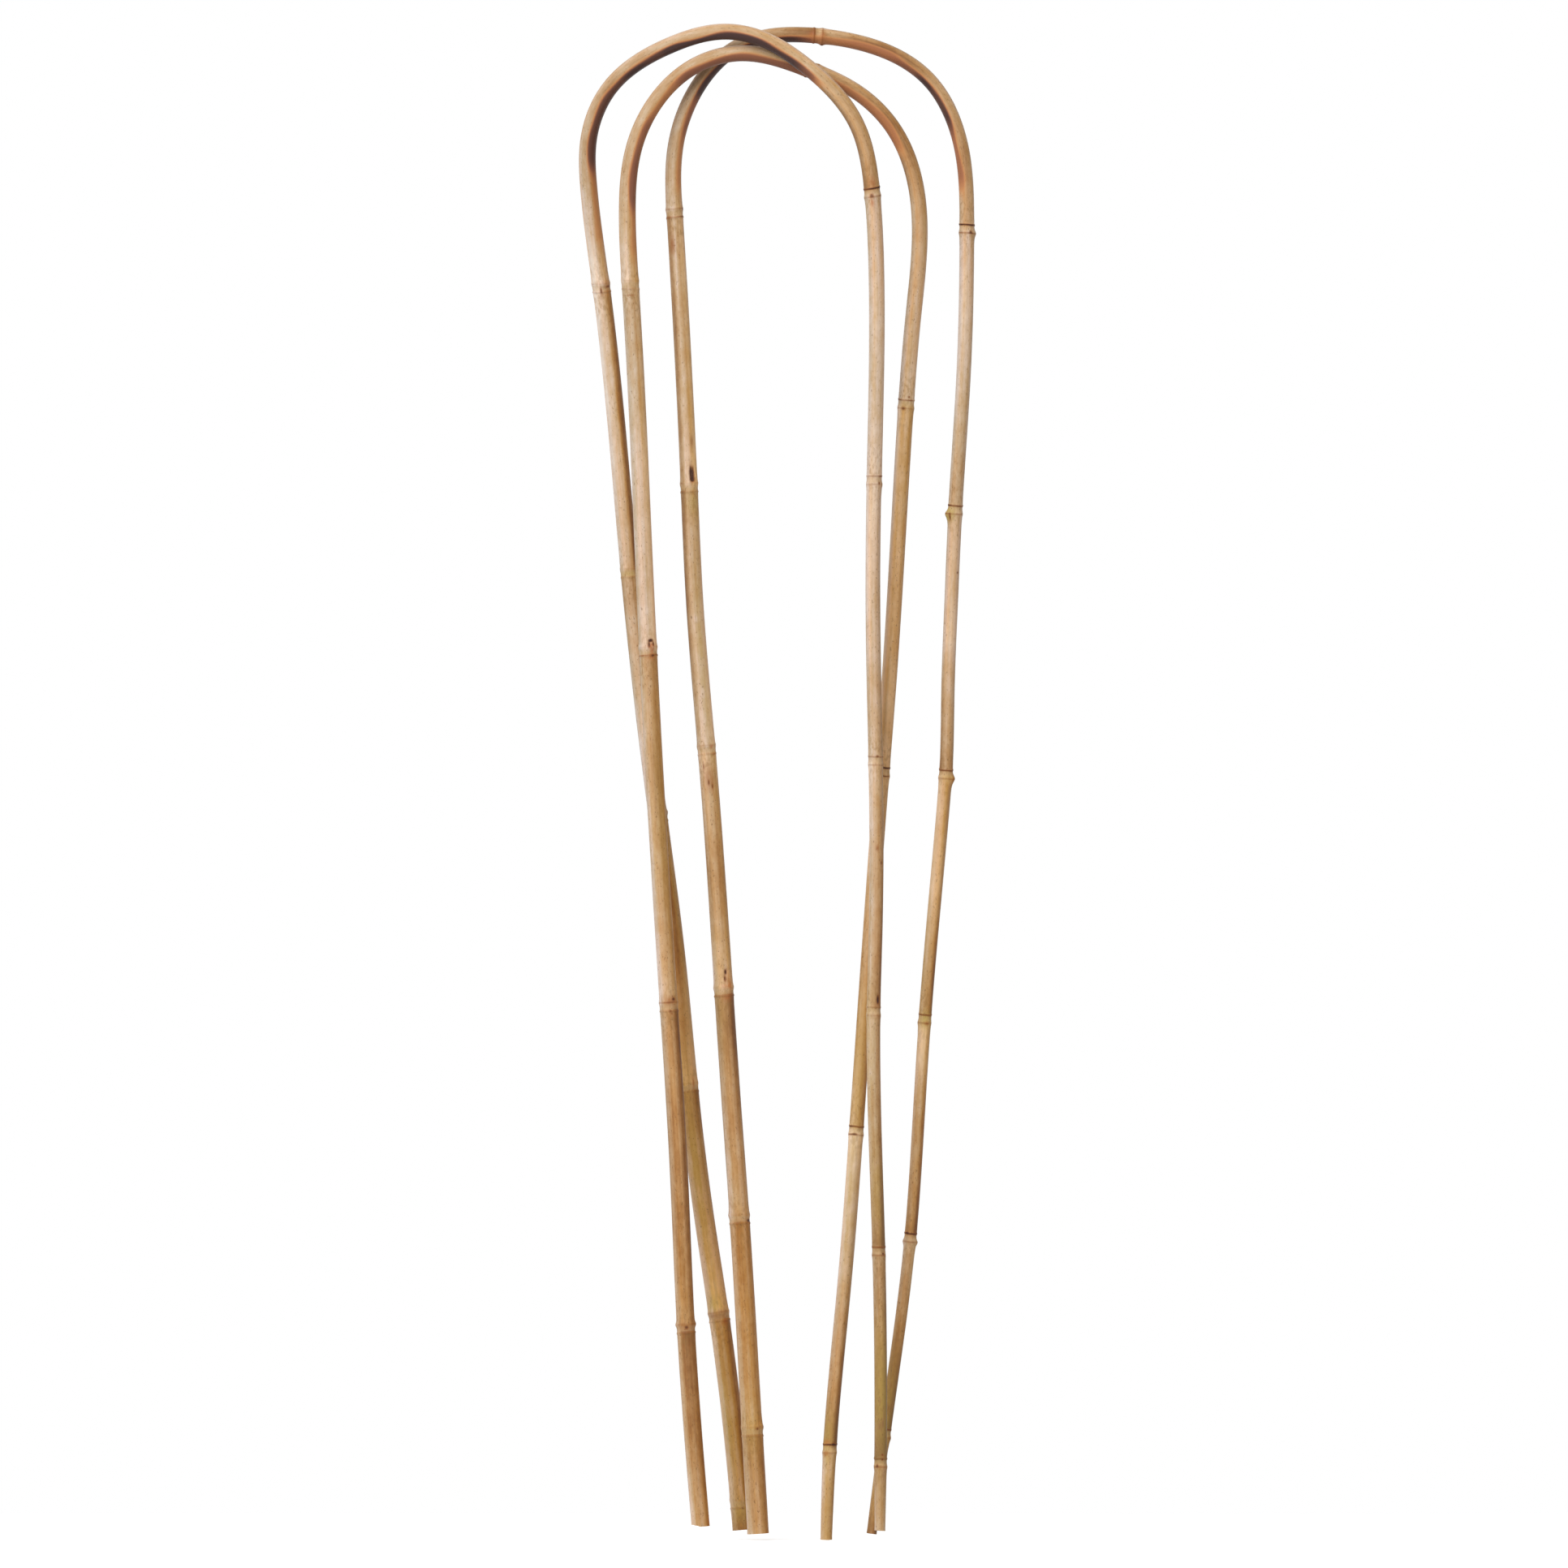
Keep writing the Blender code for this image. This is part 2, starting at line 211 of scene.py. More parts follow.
# How each node differs: dark of its scar line and of its ridge line, rust at its bud, tilt of its
# rings in mm, height of its rings, size of its bud
NODE_LOOKS = {
    "hoop_front": ((.10, .05, .3, .1, .5, .4), (.05, .20, .3, .2, .70, .5),
                   (.12, .12, .4, -.2, .5, .4), (.10, .10, .1, .3, .55, .6),
                   (.15, .12, .1, .2, .50, .5), (.15, .15, .3, -.4, .7, .5),
                   (1.0, .45, 1.0, -.5, .85, .8), (.18, .18, .1, -.3, .6, .4),
                   (.22, .25, .2, .2, .6, .4), (.15, .25, .2, -.2, .7, .7),
                   (.45, .45, .2, .3, .8, .8), (.15, .50, .2, -.3, 1.0, .8)),
    "hoop_middle": ((.10, .20, .3, -.3, .70, .5), (.10, .30, .6, .3, .70, .5),
                    (.35, .10, .5, .2, .75, .0), (.10, .10, .1, .4, .5, .4),
                    (.45, .35, .2, .2, .8, .9), (.50, .30, .3, .2, .7, .5),
                    (1.0, .80, .6, -.3, .85, .5), (.60, .50, .2, .2, .8, .5),
                    (.85, .30, .6, .3, .80, .6)),
    "hoop_back": ((.12, .10, .1, -.2, .60, .6), (.12, .10, .2, .2, .65, .5),
                  (.15, .05, .5, .2, .75, .0), (.12, .15, .3, -.2, .6, .4),
                  (.15, .15, .2, .2, .7, .0), (.40, .35, .3, -.2, .75, .5),
                  (.35, .40, .7, .2, .8, .6), (.85, .50, .1, .6, 1.0, .7),
                  (.60, .45, .1, -.2, .9, 1.2), (.55, .40, .3, .3, 1.0, .8),
                  (.50, .40, .4, -.2, .7, .5), (.75, .40, .2, .2, 1.0, .8),
                  (.50, .30, .2, -.3, .8, .6)),
}


def bell(distance, width):
    """Bell curve exp(-(distance / width)^2): 1 at the middle, 0.37 one width away."""
    return np.exp(-(distance / width) ** 2)


def apart(angles, middle):
    """Smallest angle between each angle and the middle one."""
    return np.abs((angles - middle + math.pi) % (2 * math.pi) - math.pi)


def past_scar(cane, number, at, angles):
    """Length past a node's scar: length minus the scar's place, minus a lean that is the tilt
    times the cosine of the angle, minus a small wave, as the scar really runs round the stem."""
    scar, bud = cane["nodes"][number]
    tilt = NODE_LOOKS[cane["node"]][number][3]
    lean = tilt * np.cos(angles - bud - LEAN_PAST_BUD)
    return at - scar - lean - SCAR_WAVE * wander(0.0, angles, cane["seed"] + number, 50.0, 5)


def node_swell(beyond, facing, relief=1.0, bud_size=1.0):
    """Share of the radius at a node: two bell curves for the sharp scar lip and two for the round
    ridge, all as high as the relief says, and on the ridge the trimmed bud, bell-shaped along the
    stem and round it. Heights are shares of the radius, places and widths are millimetres."""
    lip = 0.070 * bell(beyond - 0.1, 0.85) + 0.018 * bell(beyond + 2.2, 3.4)
    ridge = 0.095 * bell(beyond - RIDGE, 2.1) + 0.030 * bell(beyond - 9.5, 4.2)
    bud = bell(beyond - RIDGE - 0.8, 2.9) * bell(facing, math.radians(24))
    return relief * (1.15 * lip + ridge) + 0.17 * bud_size * bud


print("share of the radius that a ridge adds:", round(float(node_swell(RIDGE, math.pi)), 3))

# %% [markdown]
# ## Marks of growth and work
# What makes a cane look like bamboo and not like plastic pipe is uneven: stubs and hollows where
# branches were cut off, and chips. Each mark below is a place along the cane, the way it faces,
# and its size, so shape and colour both come from the same list. They were read off the real
# hoops, and turned into lengths along the cane and angles round it.

# %% Hollows, chips and knots
# Length along the cane, facing in degrees, half length, half width and depth in millimetres, then
# how dark and how rusty it is. A depth below 0 stands out, as a stub does.
# The darkest marks, in deep holes, hold painted shade inside the hole as well as dirt
MARKS = {
    "hoop_front": ((167.1, 121, 3.9, 1.9, 0, 0, .5), (357.5, 122, 5.8, .9, 0, 0, .9),
                   (562.5, 100, 1.0, 1.0, .1, .6, 0), (990.5, 86, 2.9, .8, .15, .85, 0),
                   (994.7, 136, 5.1, 1.9, 0, 0, .45), (1450.1, 96, 1.7, 1.5, -.15, .75, .3),
                   (1439.9, 80, 4.5, 3.2, 0, .15, .45), (1967.2, 83, 2.6, 1.5, -.15, .4, .3),
                   (1978.9, 45, 1.4, .8, .3, .9, 0), (2087.1, 50, 3.5, 1.3, .9, 1.8, .3),
                   (2288.5, 49, 1.3, 1.2, .5, .95, 0), (2447.6, 74, 1.0, .9, .1, .8, 0),
                   (2451.4, 74, 1.0, .9, .1, .8, 0), (2456.2, 120, 1.4, 1.0, .1, .8, 0),
                   (1678.0, 50, 1.4, .9, .3, .7, 0), (1894.3, 75, 1.0, 1.0, .1, .6, 0),
                   (572.8, 172, 2.2, 2.2, -.5, 0, 0), (2289.6, 8, 1.2, 1.6, .6, .6, 0),
                   (171.6, 75, 3.4, 9.0, 0, .28, .2), (993.0, 140, 1.0, 3.0, 0, .7, .3),
                   (1456.0, 96, 3.4, 1.2, 0, .1, .8), (1672.6, 30, .7, 2.6, 0, .6, .2)),
    "hoop_middle": ((4.0, 165, 4.0, 3.0, 0, 0, .8), (158.3, 94, 1.7, 1.5, .1, .7, .3),
                    (418.7, 124, 1.5, 1.4, .1, .85, 0), (409.3, 98, 1.3, 1.2, .1, .55, 0),
                    (407.2, 106, 1.3, 1.2, .1, .5, 0),
                    (703.4, 112, 1.2, 1.9, 1.0, 1.7, 0), (700.2, 99, 2.6, .8, .8, 1.2, 0),
                    (700.6, 129, 2.0, .8, .6, 1.0, 0), (696.6, 116, 5.4, 1.8, -.1, 0, 1),
                    (691.3, 118, 1.2, 1.4, .2, .8, 0), (977.3, 86, .8, 4.5, 0, .35, 0),
                    (1571.9, 72, 1.0, 1.0, .1, .7, 0), (1581.2, 108, 1.7, 1.7, .1, .7, 0),
                    (1652.0, 14, 2.1, 1.0, .5, .9, 0), (2157.4, 101, 1.0, 2.3, .1, .65, 0),
                    (2403.8, 60, 1.4, 1.5, .2, .9, 0), (160.8, 5, 2.0, 2.4, -.5, 0, 0),
                    (160.8, 175, 2.2, 2.4, -.5, 0, 0),
                    (159.0, 90, 3.2, 9.0, 0, .20, .1), (417.0, 105, 4.0, 5.5, 0, .30, .4)),
    "hoop_back": ((83.3, 119, 1.3, 1.0, .1, .75, 0), (248.4, 152, 1.4, 2.4, .1, 1.2, 0),
                  (446.2, 110, 2.2, 1.0, .9, 1.6, 0), (441.0, 103, 2.4, .9, .7, 1.1, .3),
                  (438.0, 134, 9.0, 3.0, -.1, 0, .60),
                  (619.3, 144, 1.3, 2.6, 0, .1, .6), (625.1, 127, 2.1, 1.7, 0, 0, .8),
                  (609.7, 60, 2.6, .6, .2, .7, 0), (596.9, 86, 2.3, .6, .2, .7, 0),
                  (593.7, 109, 2.3, .6, .2, .7, 0), (842.8, 108, 5.2, 1.2, 1.3, 1.9, 0),
                  (842.8, 126, 4.8, 1.1, 1.3, 1.5, .3), (837.6, 116, 1.6, 1.8, .9, 1.8, 0),
                  (867.8, 127, 6.4, 1.9, .2, .42, 0), (1052.1, 165, 1.3, 1.3, .1, .85, 0),
                  (1267.4, 172, 2.2, 2.4, -.9, .6, .3), (1487.9, 60, 1.3, 1.3, .3, .8, 0),
                  (1758.2, 41, 1.1, .8, .2, .9, 0), (1918.9, 20, 1.9, 1.9, -.3, .2, .5),
                  (2116.4, 70, 1.9, 1.9, 0, .2, .7), (2283.0, 125, 1.4, 1.3, .1, .7, 0),
                  (1712.6, 148, 5.0, 3.0, -1.8, 0, 0), (1714.6, 126, 3.4, .6, .6, .8, 0),
                  (600.0, 95, 11.0, 4.5, 0, .28, .25), (1024.0, 62, 8.0, 2.4, 0, .38, .2),
                  (1489.2, 8, 3.4, 3.2, -.8, 0, 0), (1921.8, 14, 4.4, 4.0, -1.1, 0, .1),
                  (2290.2, 8, 2.4, 2.4, -.6, 0, 0), (2290.2, 172, 2.4, 2.4, -.6, 0, 0)),
}
print("marks:", {name: len(marks) for name, marks in MARKS.items()})

# %% [markdown]
# ## Flame and sun
# The stem was softened over a flame to bend it, and the side that became the inside of the arch
# is browned there, more in some places than in others. Elsewhere some of the skin dried to an
# olive yellow and not to straw. Both are lists of places, given one by one, since neither follows
# a rule that a formula could give.
# The darkest browning under the arch is painted shade as well, where the underside turns from the
# light.

# %% Browned and olive places
# Browned by the flame, and under the arch also painted shade: from and to in mm along the cane,
# facing and half angle in degrees, strength
FLAMED_AND_SHADED = {
    "hoop_front": ((1025, 1085, 180, 72, .32), (1085, 1180, 180, 88, .90),
                   (1178, 1222, 180, 76, .95), (1218, 1322, 180, 84, 1.0),
                   (1320, 1347, 180, 80, .80)),
    "hoop_middle": ((1005, 1048, 180, 66, .35), (1045, 1092, 180, 84, .72),
                    (1092, 1120, 180, 82, .62), (1118, 1162, 180, 80, .45),
                    (1160, 1270, 180, 86, .70), (1270, 1375, 180, 92, .52)),
    "hoop_back": ((1065, 1112, 180, 66, .38), (1110, 1155, 180, 76, .64),
                  (1150, 1255, 180, 76, .98), (1255, 1285, 180, 90, .45),
                  (1285, 1330, 180, 98, .55), (1330, 1358, 180, 84, .72),
                  (1355, 1402, 180, 74, .95), (1400, 1455, 180, 74, .60)),
}
# Olive: mm along the cane, facing in degrees, half length and half width in mm, strength
OLIVE = {
    "hoop_front": ((14, 90, 9, 9, .55), (88, 60, 40, 5, .45), (180, 60, 10, 7, .55),
                   (300, 80, 60, 5, .40), (764, 90, 3, 9, .50), (2120, 130, 60, 4, .30),
                   (2240, 90, 40, 7, .35), (2400, 85, 60, 8, .65)),
    "hoop_middle": ((560, 120, 80, 5, .25), (1578, 90, 4, 5, .30), (2090, 110, 60, 6, .35),
                    (2200, 110, 50, 5, .35), (2400, 120, 26, 5, .60), (2470, 90, 40, 6, .25)),
    "hoop_back": ((82, 80, 24, 6, .30), (430, 60, 60, 5, .25), (700, 110, 80, 5, .30),
                  (820, 110, 10, 5, .50), (1712, 145, 6, 5, 1.4), (1921, 60, 3, 7, .45),
                  (2060, 130, 50, 4, .35), (2114, 90, 7, 5, .90), (2440, 110, 60, 6, .60)),
}
print("browned places:", sum(map(len, FLAMED_AND_SHADED.values())), "olive:", sum(map(len, OLIVE.values())))

# %% [markdown]
# ## Tone of the skin, length by length
# A cane has a colour of its own between any two nodes, because each sheath shaded its own length
# of stem until it fell. The sun, the rain and the flame then reached one side more than another,
# and the side steps also hold painted light and shade: mostly the side that faces right is darker
# and the side that faces left, toward the lamp, is lighter.
# So every length is described on a scale of ten: how dark its front is at even steps from its
# start to its end, from 0, pale cream, to 10, deep brown; how much darker the side out of the hoop
# is, and the side into it; and how warm, or yellow and red, its skin is. Most of the steps come
# from a fit: renders were compared with the real canes length by length, and the tones that would
# make both agree were rounded to whole steps. About a third of the rows were then corrected one
# by one.

# %% Tones between the nodes
TONES = {
    "hoop_front": (
        ((8, 5), -2, 1, 8), ((4, 4), -2, 4, 8), ((0, 6), 2, 2, 8), ((3, 8, 7), 1, -4, 9),
        ((2, 5, 6), -1, -1, 4), ((5, 2), -2, 4, 5), ((1, 6, 5, 4, 6), -1, 2, 5),
        ((3, 2), 0, 1, 4), ((2, 4), 2, 0, 4), ((3, 6, 6), 2, -2, 5), ((4, 4, 8), 3, 0, 5),
        ((6, 10), 0, 0, 4), ((6, 4), 0, 1, 4)),
    "hoop_middle": (
        ((5, 8), -2, 1, 6), ((5, 7, 6), 0, 3, 6), ((5, 6), -2, 0, 6), ((3, 4), 0, -2, 4),
        ((2, 5, 5, 4, 4), 0, 1, 6), ((4, 8, 5, 4, 3), -1, 0, 5), ((2, 4, 1), 2, -2, 8),
        ((0, 6, 4), 3, 0, 8), ((0, 8), 1, 0, 6), ((4, 5), 0, 0, 6)),
    "hoop_back": (
        ((5, 6), -1, 1, 6), ((4, 6), 0, 2, 7), ((4, 8), 0, 2, 5), ((3, 6, 2), 1, 0, 6),
        ((3, 6), 2, -2, 4), ((3, 4), 3, -2, 5), ((4, 5, 4, 5, 9), 0, 0, 5),
        ((5, 10, 5, 7, 5), -2, -1, 5), ((3, 2, 5), 1, 0, 4), ((3, 2, 6), 1, 1, 5),
        ((3, 3, 6), 3, -2, 8), ((0, 6), 4, 1, 8), ((4, 10), -1, 0, 6), ((3, 8), 2, 1, 6)),
}
# Painted light and shade: warmth added on the side out of the hoop and into it, on the butt leg
# and on the tip leg, so that the side turned to the lamp on the left is cooler, as a sheen greys
# it, and the side turned from it is warmer, as shade is
PAINTED_SIDE_LIGHT_WARMTH = ((-3, 3), (1, -3))
FIRST_PAST_SCAR, LAST_PAST_SCAR = 5.0, 1.0    # a length starts and ends this far past a scar, mm


def tones(cane, at, angles):
    """Tone and warmth, from 0 to 1: read between the steps of each length, and on each side plus
    that side's own share, which grows as the cosine of the angle goes from 0.2 to 0.75. The butt
    leg's warmth turns into the tip leg's over the middle tenth of the cane."""
    scars = [scar for scar, _ in cane["nodes"]]
    firsts = [0.0] + [scar + FIRST_PAST_SCAR for scar in scars]
    lasts = [scar + LAST_PAST_SCAR for scar in scars] + [cane["total"]]
    spans = np.column_stack([firsts, lasts])
    fronts, *others = zip(*TONES[cane["node"]])
    places = np.concatenate([np.linspace(*span, len(steps)) for span, steps in zip(spans, fronts)])
    front = np.interp(at, places, np.concatenate(fronts))
    outer, inner, warmth = (np.interp(at, spans.ravel(), np.repeat(one, 2)) for one in others)
    outward, inward = (smooth_step(0.2, 0.75, way * np.cos(angles)) for way in (1, -1))
    tip_leg = smooth_step(0.45, 0.55, at / cane["total"])
    # Painted light and shade: the side toward the lamp on the left turns cooler, the other side
    # warmer
    painted_warmth_out, painted_warmth_in = (butt + (tip - butt) * tip_leg for butt, tip in zip(*PAINTED_SIDE_LIGHT_WARMTH))
    # The side steps paint shade as well as weathering: mostly darker on the right, lighter on the
    # left
    tone = front + outer * outward + inner * inward
    warmth = warmth + painted_warmth_out * outward + painted_warmth_in * inward
    return (tone / 10).clip(0, 1), (warmth / 10).clip(0, 1)


print("lengths of stem with a tone of their own:", sum(len(rows) for rows in TONES.values()))

# %% [markdown]
# ## Rings of points
# The rings lie close together only where the shape changes fast: at nodes, marks and sawn ends.

# %% Places of the rings
RING_STEP, NODE_STEP, LEAST_STEP = 2.8, 0.45, 0.12
BEFORE_SCAR, AFTER_SCAR = 4.0, 14.0
NEAR_END = np.array([0.25, 0.7, 1.3])


def ring_places(cane):
    """Lengths that get a ring: one for each ring step, one for each node step round a node, nine
    over a mark and three near each sawn end, less those that would all but touch."""
    total = cane["total"]
    even = np.linspace(0.0, total, int(total / RING_STEP))
    at_nodes = [scar + np.arange(-BEFORE_SCAR, AFTER_SCAR, NODE_STEP) for scar, _ in cane["nodes"]]
    at_marks = [mark[0] + np.linspace(-1.5, 1.5, 9) * mark[2] for mark in MARKS[cane["node"]]]
    at_ends = [NEAR_END, total - NEAR_END]
    places = np.sort(np.concatenate([even] + at_nodes + at_marks + at_ends))
    places = places[(places >= 0.0) & (places <= total)]
    return places[np.concatenate([[True], np.diff(places) > LEAST_STEP])]


print({cane["node"]: len(ring_places(cane)) for cane in CANES}, "rings")

# %% [markdown]
# ## Thickness of the cane
# A stem thins quickly near its root, slowly over its length, and faster again past its last node.
# Heating and bending squeeze the tube a little in the tight part of the arch, and a bamboo stem is
# never quite round.

# %% Radius at every ring and angle
# Lengths are millimetres; depth, squeeze and unevenness are shares of the radius
ROOT_LENGTH = 600.0
GROOVE_START, GROOVE_DEPTH, GROOVE_LENGTH = 12.0, 0.055, 150.0
SQUEEZE, TIGHT_BEND_RADIUS = 0.045, 60.0
LONG_WAVE, SHORT_WAVE = (0.010, 240.0, 2), (0.004, 60.0, 7)    # height, length, turns round it


def plain_radius(cane, at):
    """Half the thickness read between its four marks: the butt, the end of the root length, the
    last node and the tip."""
    marks = (0.0, ROOT_LENGTH, cane["nodes"][-1][0], cane["total"])
    return np.interp(at, marks, cane["thickness"]) / 2


def skin_radius(cane, at, angles):
    """Plain radius times one plus all shares, less the depth of the marks. The shares are the
    swellings of the nodes, minus the grooves over the buds, minus the squeeze, which is an
    ellipse, cosine of twice the angle, that grows with the bend, plus a long and a short wave."""
    share = np.zeros(np.broadcast_shapes(at.shape, angles.shape))
    for number, (_, bud) in enumerate(cane["nodes"]):
        beyond, facing = past_scar(cane, number, at, angles), apart(angles, bud)
        share += node_swell(beyond, facing, *NODE_LOOKS[cane["node"]][number][4:])
        fade = smooth_step(GROOVE_START, GROOVE_START + 6.0, beyond)
        fade *= 1 - smooth_step(GROOVE_START, GROOVE_START + GROOVE_LENGTH, beyond)
        share -= GROOVE_DEPTH * fade * bell(facing, math.radians(30))
    squeezed = np.minimum(np.interp(at, cane["along"], cane["bend"]) * TIGHT_BEND_RADIUS, 1.0)
    share -= SQUEEZE * squeezed * np.cos(2 * angles)
    for (height, period, turns), seed in ((LONG_WAVE, 0), (SHORT_WAVE, 50)):
        share += height * wander(at, angles, cane["seed"] + seed, period, turns)
    radius = plain_radius(cane, at) * (1 + share)
    for place, facing, length, width, depth, *_ in MARKS[cane["node"]]:
        sideways = apart(angles, math.radians(facing)) * radius
        radius = radius - depth * bell(at - place, length) * bell(sideways, width)
    return radius


print("radius at the butts", [round(float(plain_radius(cane, 0.0)), 2) for cane in CANES], "mm")

# %% [markdown]
# ## Where the skin changes colour
# A material can only follow the stem if the mesh tells it where it is. Each point of a cane's
# mesh carries its place on the straightened stem, and nine values between 0 and 1: tone and
# warmth, whose sides hold painted light and shade, scorch, also painted shade under the arch, dark
# stain, also painted shade in holes, rust, pale sheath band, mottling, olive, and sawn wood. They
# bend with the cane, where a pattern in plain space would cut across it.

# %% Values painted on the points
FLAME_FADE = 12                  # mm before and past each end over which a browned place fades
EDGE_WAVE, EDGE_SOFT = 16, 14    # degrees round the stem that its sides stray and fade


def paint(cane, at, angles):
    """Dictionary of arrays, one value for every ring and angle. A node adds bell curves at its
    scar, its ridge and its bud, and a pale band between smooth steps. Marks and olive places are
    bell curves along and across the stem. Scorch is one smooth plateau along times one round."""
    shape = np.broadcast_shapes(at.shape, angles.shape)
    stain, rust, pale, mottle, scorch_and_arch_shade, olive = (np.zeros(shape) for _ in range(6))
    for number, (_, bud) in enumerate(cane["nodes"]):
        dark_scar, dark_ridge, rusty, *_ = NODE_LOOKS[cane["node"]][number]
        beyond, facing = past_scar(cane, number, at, angles), apart(angles, bud)
        patchy = 0.75 + 0.6 * wander(0.0, angles, cane["seed"] * 3 + number, 50.0, 4)
        stain += 1.35 * dark_scar * bell(beyond - 0.45, 0.70) * np.clip(patchy + 0.2, 0.3, 1.3)
        stain += 1.15 * dark_ridge * bell(beyond - RIDGE - 0.4, 0.70) * patchy
        at_bud = bell(facing, math.radians(32))
        rust += rusty * at_bud * (bell(beyond + 1.4, 2.4) + bell(beyond - 7.6, 2.2))
        pale += smooth_step(0.9, 2.0, beyond) * (1 - smooth_step(4.8, 6.4, beyond))
        mottle += bell(beyond + 9.0, 13.0) * 0.6 + bell(beyond - 13.0, 10.0) * 0.35
    # Marks darken the skin; in deep holes that dark is painted shade as well as dirt
    for place, facing, length, width, _, dark, rusty in MARKS[cane["node"]]:
        sideways = apart(angles, math.radians(facing)) * plain_radius(cane, at)
        spot = bell(at - place, length * 0.9) * bell(sideways, width * 0.9)
        stain += dark * spot
        rust += rusty * spot
    for place, facing, length, width, strength in OLIVE[cane["node"]]:
        sideways = apart(angles, math.radians(facing)) * plain_radius(cane, at)
        olive += strength * bell(at - place, length) * bell(sideways, width)
    for low, high, facing, half, strength in FLAMED_AND_SHADED[cane["node"]]:
        along = smooth_step(low - FLAME_FADE, low + FLAME_FADE, at)
        along = along * (1 - smooth_step(high - FLAME_FADE, high + FLAME_FADE, at))
        edge = half + EDGE_WAVE * wander(at, angles, cane["seed"] + 3, 55.0, 2)
        aside = np.degrees(apart(angles, math.radians(facing)))
        # Facing 180 is the underside of the arch, so this also lays painted shade there
        scorch_and_arch_shade += strength * along * (1 - smooth_step(edge - EDGE_SOFT, edge + EDGE_SOFT, aside))
    tone, warmth = tones(cane, at, angles)
    return dict(tone=tone, warmth=warmth, scorch_and_arch_shade=scorch_and_arch_shade.clip(0, 1), stain=stain.clip(0, 1),
                rust=rust.clip(0, 1), pale=pale.clip(0, 1), mottle=mottle.clip(0, 1),
                olive=olive.clip(0, 1))


print("values on the skin:", ", ".join(sorted(paint(FRONT, np.array([[500.0]]), np.zeros(1)))))

# %% [markdown]
# ## Sawn ends
# A cane is sawn off by hand, so its ends are a little slanted and rough, and the saw opens the
# hollow of the stem as far as the wall at the nearest node. A lid that closes the end would look
# like a rod, so the rings go on over the sawn edge and into the hollow.

# %% Rings of a sawn end
AROUND = 60                    # points round a ring
ANGLES = np.arange(AROUND) * (2 * math.pi / AROUND)
HOLLOW_SHARE = 0.40            # radius of the hollow as a share of the stem's
WALL_OFF_NODE = 4.0            # mm from the end's node to the wall that closes the hollow
HALF_SAWN, SAWN = 0.6, 1.0     # painted on the inside of the hollow and on the sawn face
SAWN_GRAIN = 0.12              # mm that the fibres stand out of the sawn face
# At the butt and the tip: slope of the cut in mm, the way it faces in degrees, roughness in mm,
# flare in mm
SAW_CUTS = {
    "hoop_front": ((0.5, 250, 0.25, 0.1), (0.9, 330, 0.35, 0.25)),
    "hoop_middle": ((4.2, 180, 0.40, 0.1), (0.9, 160, 0.30, 0.35)),
    "hoop_back": ((0.4, 60, 0.25, 0.1), (0.5, 60, 0.35, 0.7)),
}


def end_rings(cane, end, wall, cut, number):
    """From the wall in the hollow out to the sawn edge: lengths, radii, how sawn they are, and
    the saw cut. The cut is a slope, half its height times the cosine of the angle, plus
    roughness. The radius goes from the hollow's to the skin's by a share that grows on the face."""
    slope, facing, rough, _ = cut
    inward = math.copysign(1.0, wall - end)
    radius = skin_radius(cane, np.array([[end]]), ANGLES)[0]
    saw = -slope * np.cos(ANGLES - math.radians(facing)) / 2
    saw = saw + rough * np.abs(wander(0.0, ANGLES, cane["seed"] + 7 * number, 50.0, 9))
    hollow = HOLLOW_SHARE * (1 + 0.06 * wander(0.0, ANGLES, cane["seed"] + 9 * number, 50.0, 3))
    hollow = np.minimum(hollow, HOLLOW_SHARE * radius.mean() / radius)
    # Ring by ring: share of the way in to the wall, and of the way out from the hollow to the skin
    steps = np.array([1.0, 0.75, 0.5, 0.25, 0.06, 0.0, 0.0, 0.0, 0.0, 0.0])
    share = np.array([0, 0, 0, 0, 0, 0.02, 0.25, 0.55, 0.85, 0.985])[:, None]
    at = end + (wall - end) * steps[:, None] + inward * saw * (1 - steps[:, None])
    grain = SAWN_GRAIN * wander(share * 40, ANGLES, cane["seed"] + number, 9.0, 9)
    at = at + inward * np.where(share > 0.01, grain, 0.0)
    radii = radius * (hollow + share * (1 - hollow))
    sawn = np.where(share > 0.0, SAWN, HALF_SAWN) + np.zeros(AROUND)
    return at, radii, sawn, saw


print("hollow is", HOLLOW_SHARE, "of the stem's thickness, with", AROUND, "points round it")

# %% [markdown]
# ## All rings of a cane
# One closed surface runs from the wall inside the butt, out along the hollow, over the sawn edge,
# along the whole outside, and in again at the tip. As a grid with one row for each ring, all of
# it comes from whole arrays, and a modelled pipe with boolean cuts would have no such rows to
# paint on.

# %% Grid of rings
def place_rings(cane, at, radii):
    """Ring points: centre + radius * (cos angle * outward + sin angle * front)."""
    flat = at.reshape(-1)
    centres, outward, front = (part.reshape(*at.shape, 3) for part in frames(cane, flat))
    around = np.cos(ANGLES)[:, None] * outward + np.sin(ANGLES)[:, None] * front
    return (centres + radii[..., None] * around) * MM


